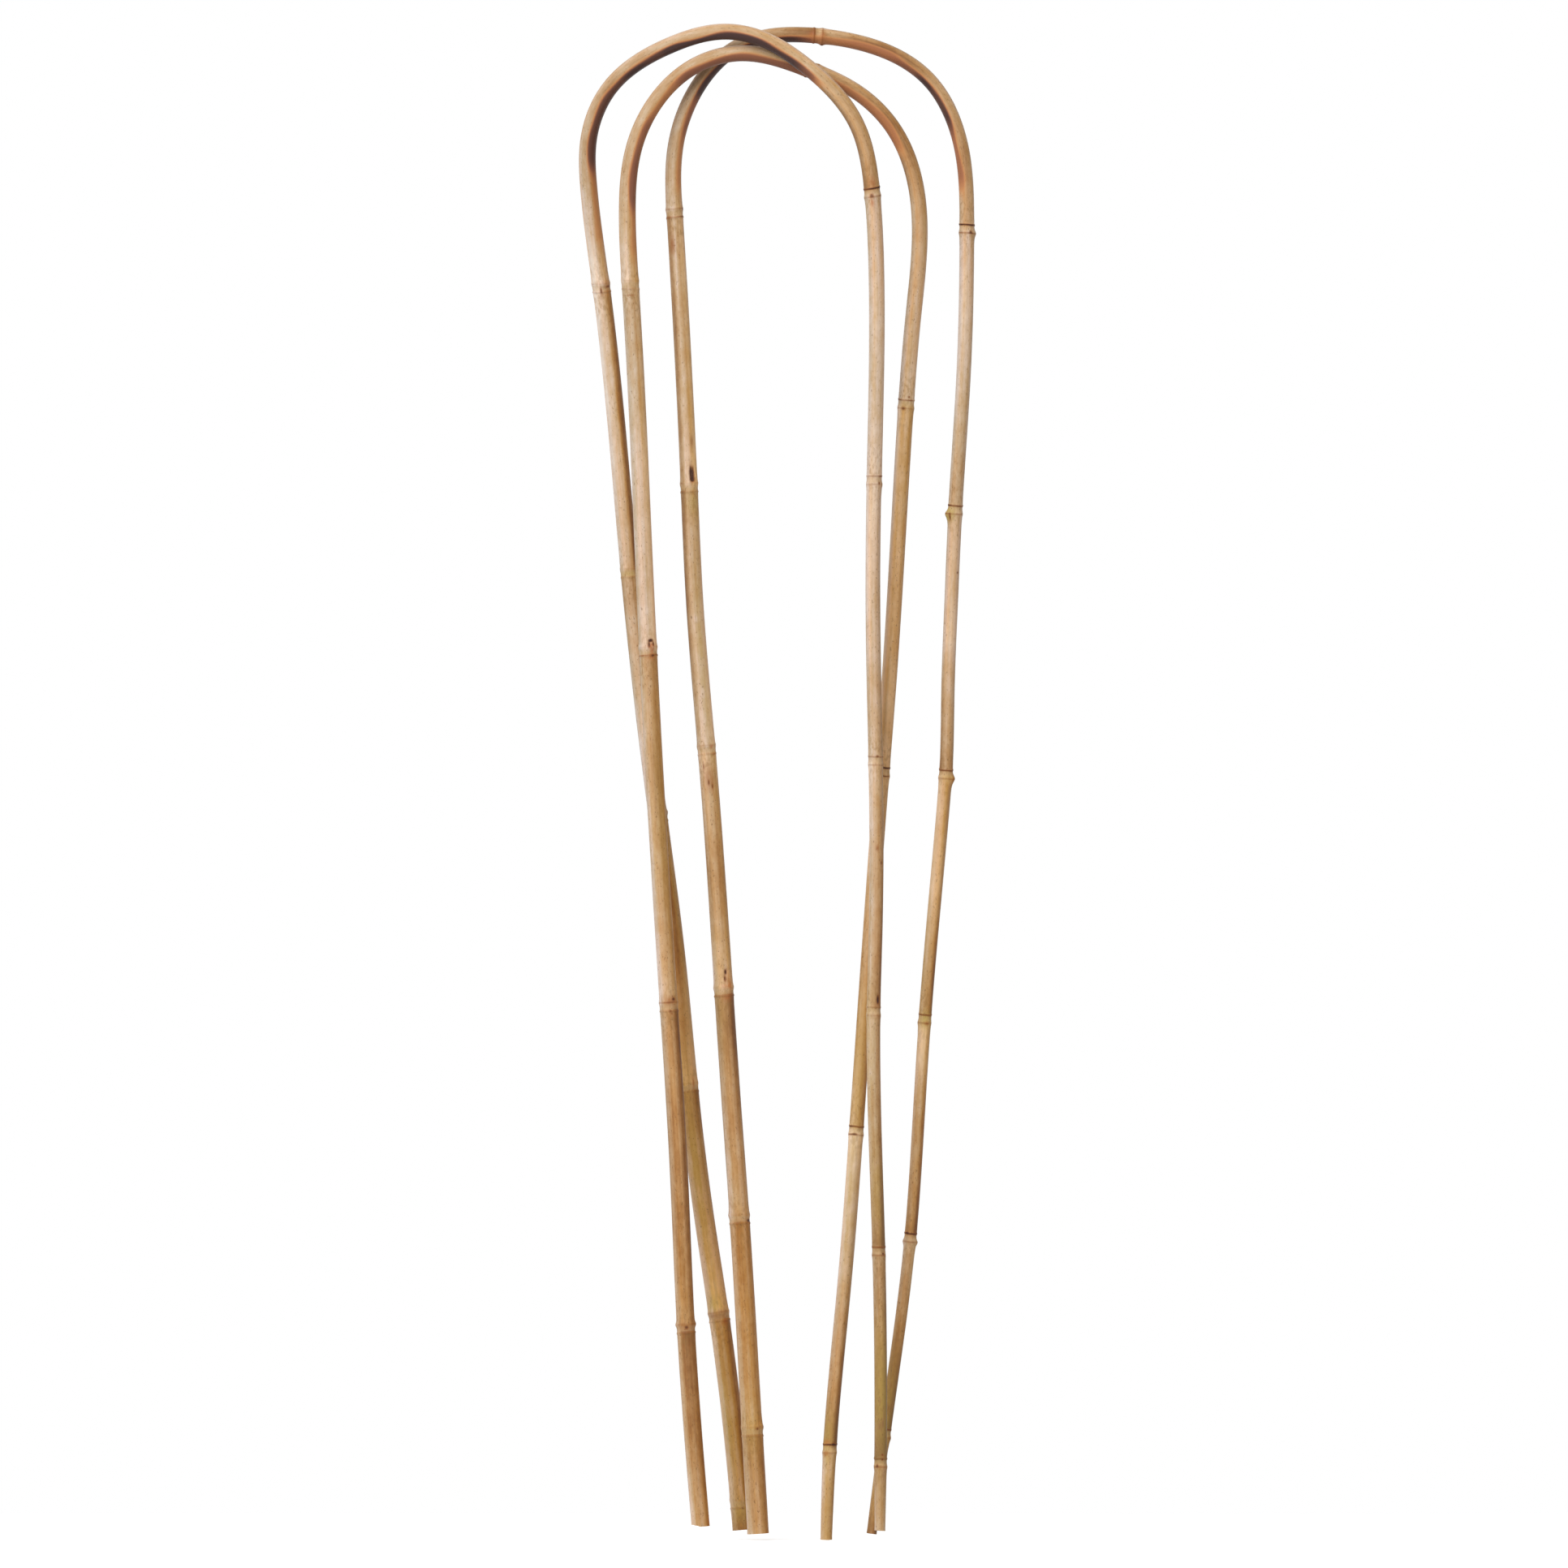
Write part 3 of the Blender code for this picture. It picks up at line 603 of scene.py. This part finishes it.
def skin(cane):
    """All rings of a cane as one grid of rows, with the middles of the walls in both hollows, the
    same rings on the straightened stem, and the painted values. Near a sawn end the rings lean
    with the cut, and the radius flares by a bell curve times 0.5 + 0.5 cos(2 * angle), which the
    end's own length turns some way round."""
    total, nodes, cuts = cane["total"], cane["nodes"], SAW_CUTS[cane["node"]]
    walls = (nodes[0][0] - WALL_OFF_NODE, nodes[-1][0] + RIDGE + WALL_OFF_NODE)
    butt = end_rings(cane, 0.0, walls[0], cuts[0], 1)
    tip = end_rings(cane, total, walls[1], cuts[1], 2)
    places = ring_places(cane)[:, None]
    radii = skin_radius(cane, places, ANGLES)
    at = places + bell(places, 2.5) * butt[3] - bell(places - total, 2.5) * tip[3]
    for (*_, flare), end in zip(cuts, (0.0, total)):
        radii = radii + flare * bell(places - end, 1.6) * (0.5 + 0.5 * np.cos(ANGLES * 2 + end))
    rows = np.concatenate([butt[0], at, tip[0][::-1]])
    wide = np.concatenate([butt[1], radii, tip[1][::-1]])
    sawn = np.concatenate([butt[2], np.zeros(at.shape), tip[2][::-1]])
    values = paint(cane, rows, ANGLES)
    values["sawn"] = sawn
    middles = frames(cane, np.array(walls))[0] * MM
    straight = np.stack([wide * np.cos(ANGLES), wide * np.sin(ANGLES), rows], axis=-1) * MM
    return place_rings(cane, rows, wide), middles, straight, values


rings, middles, straight, values = skin(FRONT)
print("front cane:", rings.shape[0], "rings of", rings.shape[1], "points")

# %% [markdown]
# ## From rings to a mesh
# Neighbouring points of the grid make a four-sided face, and only the walls in the two hollows
# need a fan of triangles. The painted values go on the points as attributes, which the material
# can read by name.

# %% Mesh of a cane
SHARP_EDGE = 48.0    # degrees between two faces past which their edge shows as an edge


def close_up(rings, middles):
    """Points and faces of a grid of rings: a quad between neighbours, and a fan round a middle
    point at either end. Six times the volume is the sum of corner . (corner x corner) over the
    quads' triangles, and if it is below 0 all faces are turned round to point outwards."""
    rows, around = rings.shape[:2]
    points = np.concatenate([rings.reshape(-1, 3), middles])
    first = np.arange(rows - 1)[:, None] * around + np.arange(around)
    turned = np.arange(rows - 1)[:, None] * around + (np.arange(around) + 1) % around
    quads = np.stack([first, turned, turned + around, first + around], axis=-1).reshape(-1, 4)
    ring = np.arange(around)
    last = (rows - 1) * around
    near = np.stack([(ring + 1) % around, ring, np.full(around, rows * around)], axis=-1)
    far = np.stack([last + ring, last + (ring + 1) % around,
                    np.full(around, rows * around + 1)], axis=-1)
    corners = points[quads]
    volume = np.einsum("ij,ij->", corners[:, 0], np.cross(corners[:, 1], corners[:, 2]))
    volume += np.einsum("ij,ij->", corners[:, 0], np.cross(corners[:, 2], corners[:, 3]))
    turn = 1 if volume >= 0 else -1
    faces = quads[:, ::turn].tolist() + near[:, ::turn].tolist() + far[:, ::turn].tolist()
    return points, faces


def make_piece(name, rings, middles, values, material):
    """Mesh object at the origin, its place in its points, with one attribute for each value. Each
    of the two middles gets the mean of the ring next to it."""
    points, faces = close_up(rings, middles)
    mesh = bpy.data.meshes.new(name)
    mesh.from_pydata(points.tolist(), [], faces)
    for key, value in values.items():
        wide = value.ndim == 3
        flat = value.reshape(-1, 3) if wide else value.reshape(-1, 1)
        ends = np.stack([flat[:rings.shape[1]].mean(axis=0), flat[-rings.shape[1]:].mean(axis=0)])
        held = mesh.attributes.new(key, "FLOAT_VECTOR" if wide else "FLOAT", "POINT")
        held.data.foreach_set("vector" if wide else "value", np.concatenate([flat, ends]).ravel())
    mesh.shade_smooth()
    mesh.set_sharp_from_angle(angle=math.radians(SHARP_EDGE))
    mesh.materials.append(material)
    piece = bpy.data.objects.new(name, mesh)
    bpy.context.collection.objects.link(piece)
    return piece


print("front cane:", len(close_up(rings, middles)[1]), "faces")

# %% [markdown]
# ## Bamboo skin
# Dried bamboo has a hard, smooth, slightly waxy skin with a satin shine. Its colour drifts along
# the stem from cream through straw and honey to ochre brown, in soft bands that follow the
# fibres, with fine streaks, freckles of mildew, and dirt held at the nodes. The flame that softened
# the stem for bending left purple brown on the inside of the arch, and the darkest of it there is
# also painted shade under the arch. Deep holes are painted near black, dirt and painted shade in
# one.
# Colours are written as sRGB hex values and turned to linear light in one place.

# %% Colours and one helper for nodes
def linear(hex_colour):
    """sRGB hex to linear RGBA: c / 12.92 below 0.04045, else ((c + 0.055) / 1.055) ^ 2.4."""
    share = np.array([int(hex_colour[i:i + 2], 16) for i in (1, 3, 5)]) / 255
    light = np.where(share <= 0.04045, share / 12.92, ((share + 0.055) / 1.055) ** 2.4)
    return (*light.tolist(), 1.0)


def add(tree, kind, settings=None, **sockets):
    """Adds one shader node, with its settings, and each input linked or set by its name, or by
    its number written as in_0. Gives the node back."""
    made = tree.nodes.new("ShaderNode" + kind)
    for key, value in (settings or {}).items():
        setattr(made, key, value)
    for key, value in sockets.items():
        socket = made.inputs[int(key[3:]) if key.startswith("in_") else key.replace("_", " ")]
        if isinstance(value, bpy.types.NodeSocket):
            tree.links.new(value, socket)
        else:
            socket.default_value = value
    return made


print("white is", linear("#ffffff"), "and middle grey", round(linear("#808080")[0], 3))

# %% [markdown]
# ## Patterns on the skin
# Real streaks follow the fibres, so each pattern is one noise that is stretched along the
# straightened stem: bands and fibres far, spots of mould only a little. Some of them push the
# painted tone and warmth up and down, so that the colour drifts as it does on a real stem. They
# also break up what lies over the skin, since mildew, rust and scorch never end at a clean edge.

# %% Colours and patterns of a dried cane
# Cream where the sheath kept the sun off, straw and honey on most of the stem, brown where it
# weathered. How red and how yellow these and the tint are was fitted to the real canes, and then
# changed a little.
SKIN_COLOURS = ((0.0, "#eedfd3"), (0.12, "#e1d4c8"), (0.26, "#d2c2b5"), (0.40, "#c3b098"),
                (0.55, "#b69c7d"), (0.70, "#a38461"), (0.85, "#8c6b4c"), (1.0, "#70513b"))
WARM_TINT = "#ffd588"      # multiplies the skin's colour where it is warm
# Width across the stem and length along it of each pattern, in millimetres. The finest fibres are
# drawn two to three times as wide as they are, to show at this distance.
GRAINS = {"bands": (7.5, 280.0), "stripes": (6.0, 420.0), "drift": (30.0, 70.0),
          "blotch": (5.5, 16.0), "fibres": (1.2, 70.0), "mould": (2.0, 4.5),
          "freckle": (1.1, 2.4), "bundles": (0.55, 60.0)}
PER_METRE = 1000.0         # over a size in mm, this is how often it fits in a metre
# How far each pattern moves the tone and the warmth
SHIFTS = (("tone", "bands", 0.70), ("tone", "drift", 0.30), ("tone", "fibres", 0.24),
          ("tone", "blotch", 0.26), ("tone", "mould", 0.24), ("warmth", "stripes", 1.20),
          ("warmth", "blotch", 0.40))
# What lies over the skin: painted value with the range that shows, pattern that breaks it up with
# its range, strength and colour
LAYERS = (
    ("tone", (0.9, 0.2), "bands", (0.54, 0.40), 0.24, "#e0ab8e"),       # pinkish new skin
    ("pale", (0.0, 1.0), "drift", (0.25, 0.40), 0.40, "#c6a57b"),       # kept by the sheath
    ("olive", (0.0, 1.0), "blotch", (0.25, 0.45), 0.80, "#b39a4a"),     # still greenish skin
    ("mottle", (0.0, 1.0), "mould", (0.48, 0.66), 0.70, "#95703f"),     # mildew at the nodes
    ("tone", (0.0, 0.4), "freckle", (0.62, 0.72), 0.65, "#75532f"),     # freckles of old mould
    ("rust", (0.0, 1.0), "mould", (0.25, 0.45), 0.85, "#b0612c"),       # torn and oxidised wood
    ("scorch_and_arch_shade", (0.0, 0.35), "bands", (0.15, 0.40), 0.75, "#c98750"),    # turned orange by the heat
    ("scorch_and_arch_shade", (0.25, 0.65), "bands", (0.20, 0.42), 0.82, "#945a42"),   # browned by the flame
    # Painted shade: the deepest scorch colour also stands for the shade under the arch
    ("scorch_and_arch_shade", (0.55, 1.0), "bands", (0.15, 0.35), 0.95, "#3c2a29"),    # scorched purple brown
    ("stain", (0.0, 0.5), "fibres", (0.10, 0.35), 0.80, "#8a4f22"),     # dirt in cuts and scars
    # Painted shade: near black in deep cuts and holes, for the shade inside them as well as dirt
    ("stain", (0.4, 1.0), "fibres", (0.10, 0.35), 0.92, "#33170e"),     # deep cuts and holes
    ("sawn", (0.0, 0.5), "bundles", (0.00, 0.20), 1.00, "#8a6840"),     # wall of the hollow
    ("sawn", (0.6, 1.0), "bundles", (0.35, 0.50), 1.00, "#cbab78"),     # sawn face, pored
)
print(len(SKIN_COLOURS), "colours,", len(GRAINS), "patterns and", len(LAYERS), "layers")

# %% [markdown]
# ## The material
# Cane skin is a hard, thin, waxy layer, so its shine is a soft satin one and no metal or coat is
# needed. One material serves all three canes, since what differs between them is painted on their
# points. Only the roughness is set for each, as old canes are worn unevenly.

# %% Skin of a dried cane, flame bent
PAINTED = ("tone", "warmth", "scorch_and_arch_shade", "stain", "rust", "pale", "mottle", "olive", "sawn")
# Mildew dulls the wax by this much, and years outdoors have taken half the shine of new bamboo
MILDEW_DULLS, WORN_SHINE = 0.15, 0.25
FIBRE_HEIGHT = 0.0003      # metres that a fibre stands out of the skin


def bamboo_skin(name, roughness):
    """Dried bamboo stem, hard and waxy: a satin shine, streaked along its fibres. The tone
    painted on the points, plus amount * (pattern - 0.5) for each pattern, picks the colour from
    the ramp, and warmth tints it. Each layer is mixed in by painted share * pattern."""
    material = bpy.data.materials.new(name)
    material.use_nodes = True
    tree = material.node_tree
    shader = tree.nodes["Principled BSDF"]
    held = {key: add(tree, "Attribute", {"attribute_name": key}).outputs["Fac"] for key in PAINTED}
    straight = add(tree, "Attribute", {"attribute_name": "straight"}).outputs["Vector"]
    grain = {}
    for key, (across, along) in GRAINS.items():
        scale = (PER_METRE / across, PER_METRE / across, PER_METRE / along)
        stretched = add(tree, "Mapping", Vector=straight, Scale=scale).outputs[0]
        grain[key] = add(tree, "TexNoise", Vector=stretched, Scale=1.0, Detail=2.0).outputs["Fac"]

    moved = {"tone": held["tone"], "warmth": held["warmth"]}
    for value, pattern, amount in SHIFTS:
        centred = add(tree, "Math", {"operation": "SUBTRACT"}, in_0=grain[pattern], in_1=0.5)
        moved[value] = add(tree, "Math", {"operation": "MULTIPLY_ADD", "use_clamp": True},
                           in_0=centred.outputs[0], in_1=amount, in_2=moved[value]).outputs[0]
    tone, warmth = moved["tone"], moved["warmth"]
    ramp = add(tree, "ValToRGB", Fac=tone)
    stops = ramp.color_ramp.elements
    while len(stops) < len(SKIN_COLOURS):
        stops.new(0.5)
    for stop, (place, colour) in zip(stops, SKIN_COLOURS):
        stop.position, stop.color = place, linear(colour)
    colour = add(tree, "Mix", {"data_type": "RGBA", "blend_type": "MULTIPLY"},
                 Factor=warmth, in_6=ramp.outputs["Color"], in_7=linear(WARM_TINT)).outputs[2]

    for painted, (none, full), pattern, (gap, cover), strength, over in LAYERS:
        share = add(tree, "MapRange", Value=held[painted], From_Min=none, From_Max=full,
                    To_Max=strength).outputs[0]
        broken = add(tree, "MapRange", Value=grain[pattern], From_Min=gap,
                     From_Max=cover).outputs[0]
        share = add(tree, "Math", {"operation": "MULTIPLY"}, in_0=share, in_1=broken).outputs[0]
        colour = add(tree, "Mix", {"data_type": "RGBA"}, Factor=share, in_6=colour,
                     in_7=linear(over)).outputs[2]
    tree.links.new(colour, shader.inputs["Base Color"])
    rough = add(tree, "Math", {"operation": "MULTIPLY_ADD", "use_clamp": True}, in_0=held["mottle"],
                in_1=MILDEW_DULLS, in_2=roughness).outputs[0]
    tree.links.new(rough, shader.inputs["Roughness"])
    shader.inputs["Specular IOR Level"].default_value = WORN_SHINE
    bump = add(tree, "Bump", Height=grain["fibres"], Strength=0.12, Distance=FIBRE_HEIGHT)
    tree.links.new(bump.outputs[0], shader.inputs["Normal"])
    return material


SKINS = {"hoop_back": bamboo_skin("dried_bamboo_tawny", 0.48),
         "hoop_middle": bamboo_skin("dried_bamboo_honey", 0.49),
         "hoop_front": bamboo_skin("dried_bamboo_cream", 0.47)}
print("skins:", ", ".join(material.name for material in SKINS.values()))

# %% [markdown]
# ## The three hoops
# With route, thickness, marks and skin in place, each hoop is one call. It stands for the plain
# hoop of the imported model, rides on the same body, and so lifts out of the set with it.

# %% Build the hoops
for cane in CANES:
    rings, middles, straight, values = skin(cane)
    hoop = make_piece(cane["node"] + "_skin", rings, middles, {**values, "straight": straight},
                      SKINS[cane["node"]])
    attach(hoop, cane["body"])
    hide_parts(cane["node"])
    low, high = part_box(cane["node"])
    span = rings.reshape(-1, 3)
    print(hoop.name, len(hoop.data.polygons), "faces, off the plain hoop by mm",
          ((span.min(axis=0) - np.array(low)) / MM).round(2),
          ((span.max(axis=0) - np.array(high)) / MM).round(2))

# %% [markdown]
# ## Light
# A round pale stem shows its form by a soft change from light to shade, so one large lamp stands
# in front, high on the left, and a small weak one fills the right side. Both are plain white, so
# that the colours are read from the bamboo.

# %% Lamps
def soft_lamp(name, place, aim, size, power):
    """A square area lamp at a place, turned to face its aim: yaw and pitch are the arctangents of
    the way to the aim."""
    lamp = bpy.data.lights.new(name, "AREA")
    lamp.size, lamp.energy = size, power
    holder = bpy.data.objects.new(name, lamp)
    holder.location = place
    toward = np.array(aim) - np.array(place)
    yaw = math.atan2(toward[1], toward[0]) - math.pi / 2
    pitch = math.atan2(toward[2], math.hypot(toward[0], toward[1])) + math.pi / 2
    holder.rotation_euler = (pitch, 0.0, yaw)
    bpy.context.collection.objects.link(holder)
    return holder


# Places and sizes in metres, power in watts
soft_lamp("key_lamp", place=(-2.2, -3.5, 3.3), aim=(0.0, 0.0, 0.7), size=4.2, power=262.0)
soft_lamp("fill_lamp", place=(3.4, -2.2, 1.6), aim=(0.0, 0.0, 0.6), size=2.4, power=26.0)
print("lamps", [(lamp.name, lamp.energy) for lamp in bpy.data.lights])

# %% [markdown]
# ## White floor and sky
# A white background that really lit the canes from all round would wash out their colours. So the
# floor and the sky are white only to the camera, to reflections and through clear things. For the
# rays that light the canes the sky is dim and the floor has no glow, and it keeps their shadow.

# %% Floor and sky
WHITE = (1.0, 1.0, 1.0, 1.0)
FLOOR_REACH, FLOOR_DROP = 1.1, 0.0005    # metres: half its width, and how far below the feet
FLOOR_GLOW, SKY_GLOW = 0.56, 0.24        # added to the floor where seen; light that the sky gives


def watched(tree):
    """The largest of three marks: 1 for the rays of the camera, of a reflection and through a clear
    thing, 0 for the rays that light the canes."""
    seen = add(tree, "LightPath").outputs
    bare = add(tree, "Math", {"operation": "MAXIMUM"}, in_0=seen["Is Camera Ray"],
               in_1=seen["Is Glossy Ray"]).outputs[0]
    return add(tree, "Math", {"operation": "MAXIMUM"}, in_0=bare,
               in_1=seen["Is Transmission Ray"]).outputs[0]


floor_mesh = bpy.data.meshes.new("floor")
corners = [(FLOOR_REACH * x, FLOOR_REACH * y, -FLOOR_DROP)
           for x, y in ((-1, -1), (1, -1), (1, 1), (-1, 1))]
floor_mesh.from_pydata(corners, [], [(0, 1, 2, 3)])
floor = bpy.data.objects.new("floor", floor_mesh)
bpy.context.collection.objects.link(floor)
# Matt white paper: it has no shine, so the canes' soft shadow is all that shows on it
paper = bpy.data.materials.new("white_paper_floor")
paper.use_nodes = True
tree = paper.node_tree
shader = tree.nodes["Principled BSDF"]
shader.inputs["Base Color"].default_value = linear("#e9e8e6")
shader.inputs["Roughness"].default_value = 0.9
shader.inputs["Emission Color"].default_value = WHITE
lift = add(tree, "Math", {"operation": "MULTIPLY"}, in_0=watched(tree), in_1=FLOOR_GLOW)
tree.links.new(lift.outputs[0], shader.inputs["Emission Strength"])
floor_mesh.materials.append(paper)

world = bpy.data.worlds.new("studio")
bpy.context.scene.world = world
world.use_nodes = True
tree = world.node_tree
sky = tree.nodes["Background"]
sky.inputs["Color"].default_value = WHITE
glow = add(tree, "MapRange", {"clamp": True}, Value=watched(tree), From_Min=0.0, From_Max=1.0,
           To_Min=SKY_GLOW, To_Max=1.0)
tree.links.new(glow.outputs["Result"], sky.inputs["Strength"])
print("floor and sky look white, and the sky lights the hoops by", SKY_GLOW)

# %% [markdown]
# ## Camera
# The canes look the same width near and far, as through a long lens, so the camera stands far off
# and its focal length follows from the width of the picture.

# %% Long lens
# Metres: width of the picture, way from lens to hoops, and the picture's middle across and up
FRAME_WIDTH, FAR_OFF = 1.243, 30.0
LOOK_ACROSS, LOOK_UP = 0.005514, 0.599132
lens = bpy.data.cameras.new("camera")
lens.lens = lens.sensor_width * FAR_OFF / FRAME_WIDTH
lens.clip_end = 100.0
camera = bpy.data.objects.new("camera", lens)
camera.location = (LOOK_ACROSS, -FAR_OFF, LOOK_UP)
camera.rotation_euler = (math.pi / 2, 0.0, 0.0)
bpy.context.collection.objects.link(camera)
bpy.context.scene.camera = camera
bpy.context.scene.view_settings.view_transform = "Standard"
print("lens", round(lens.lens), "mm")
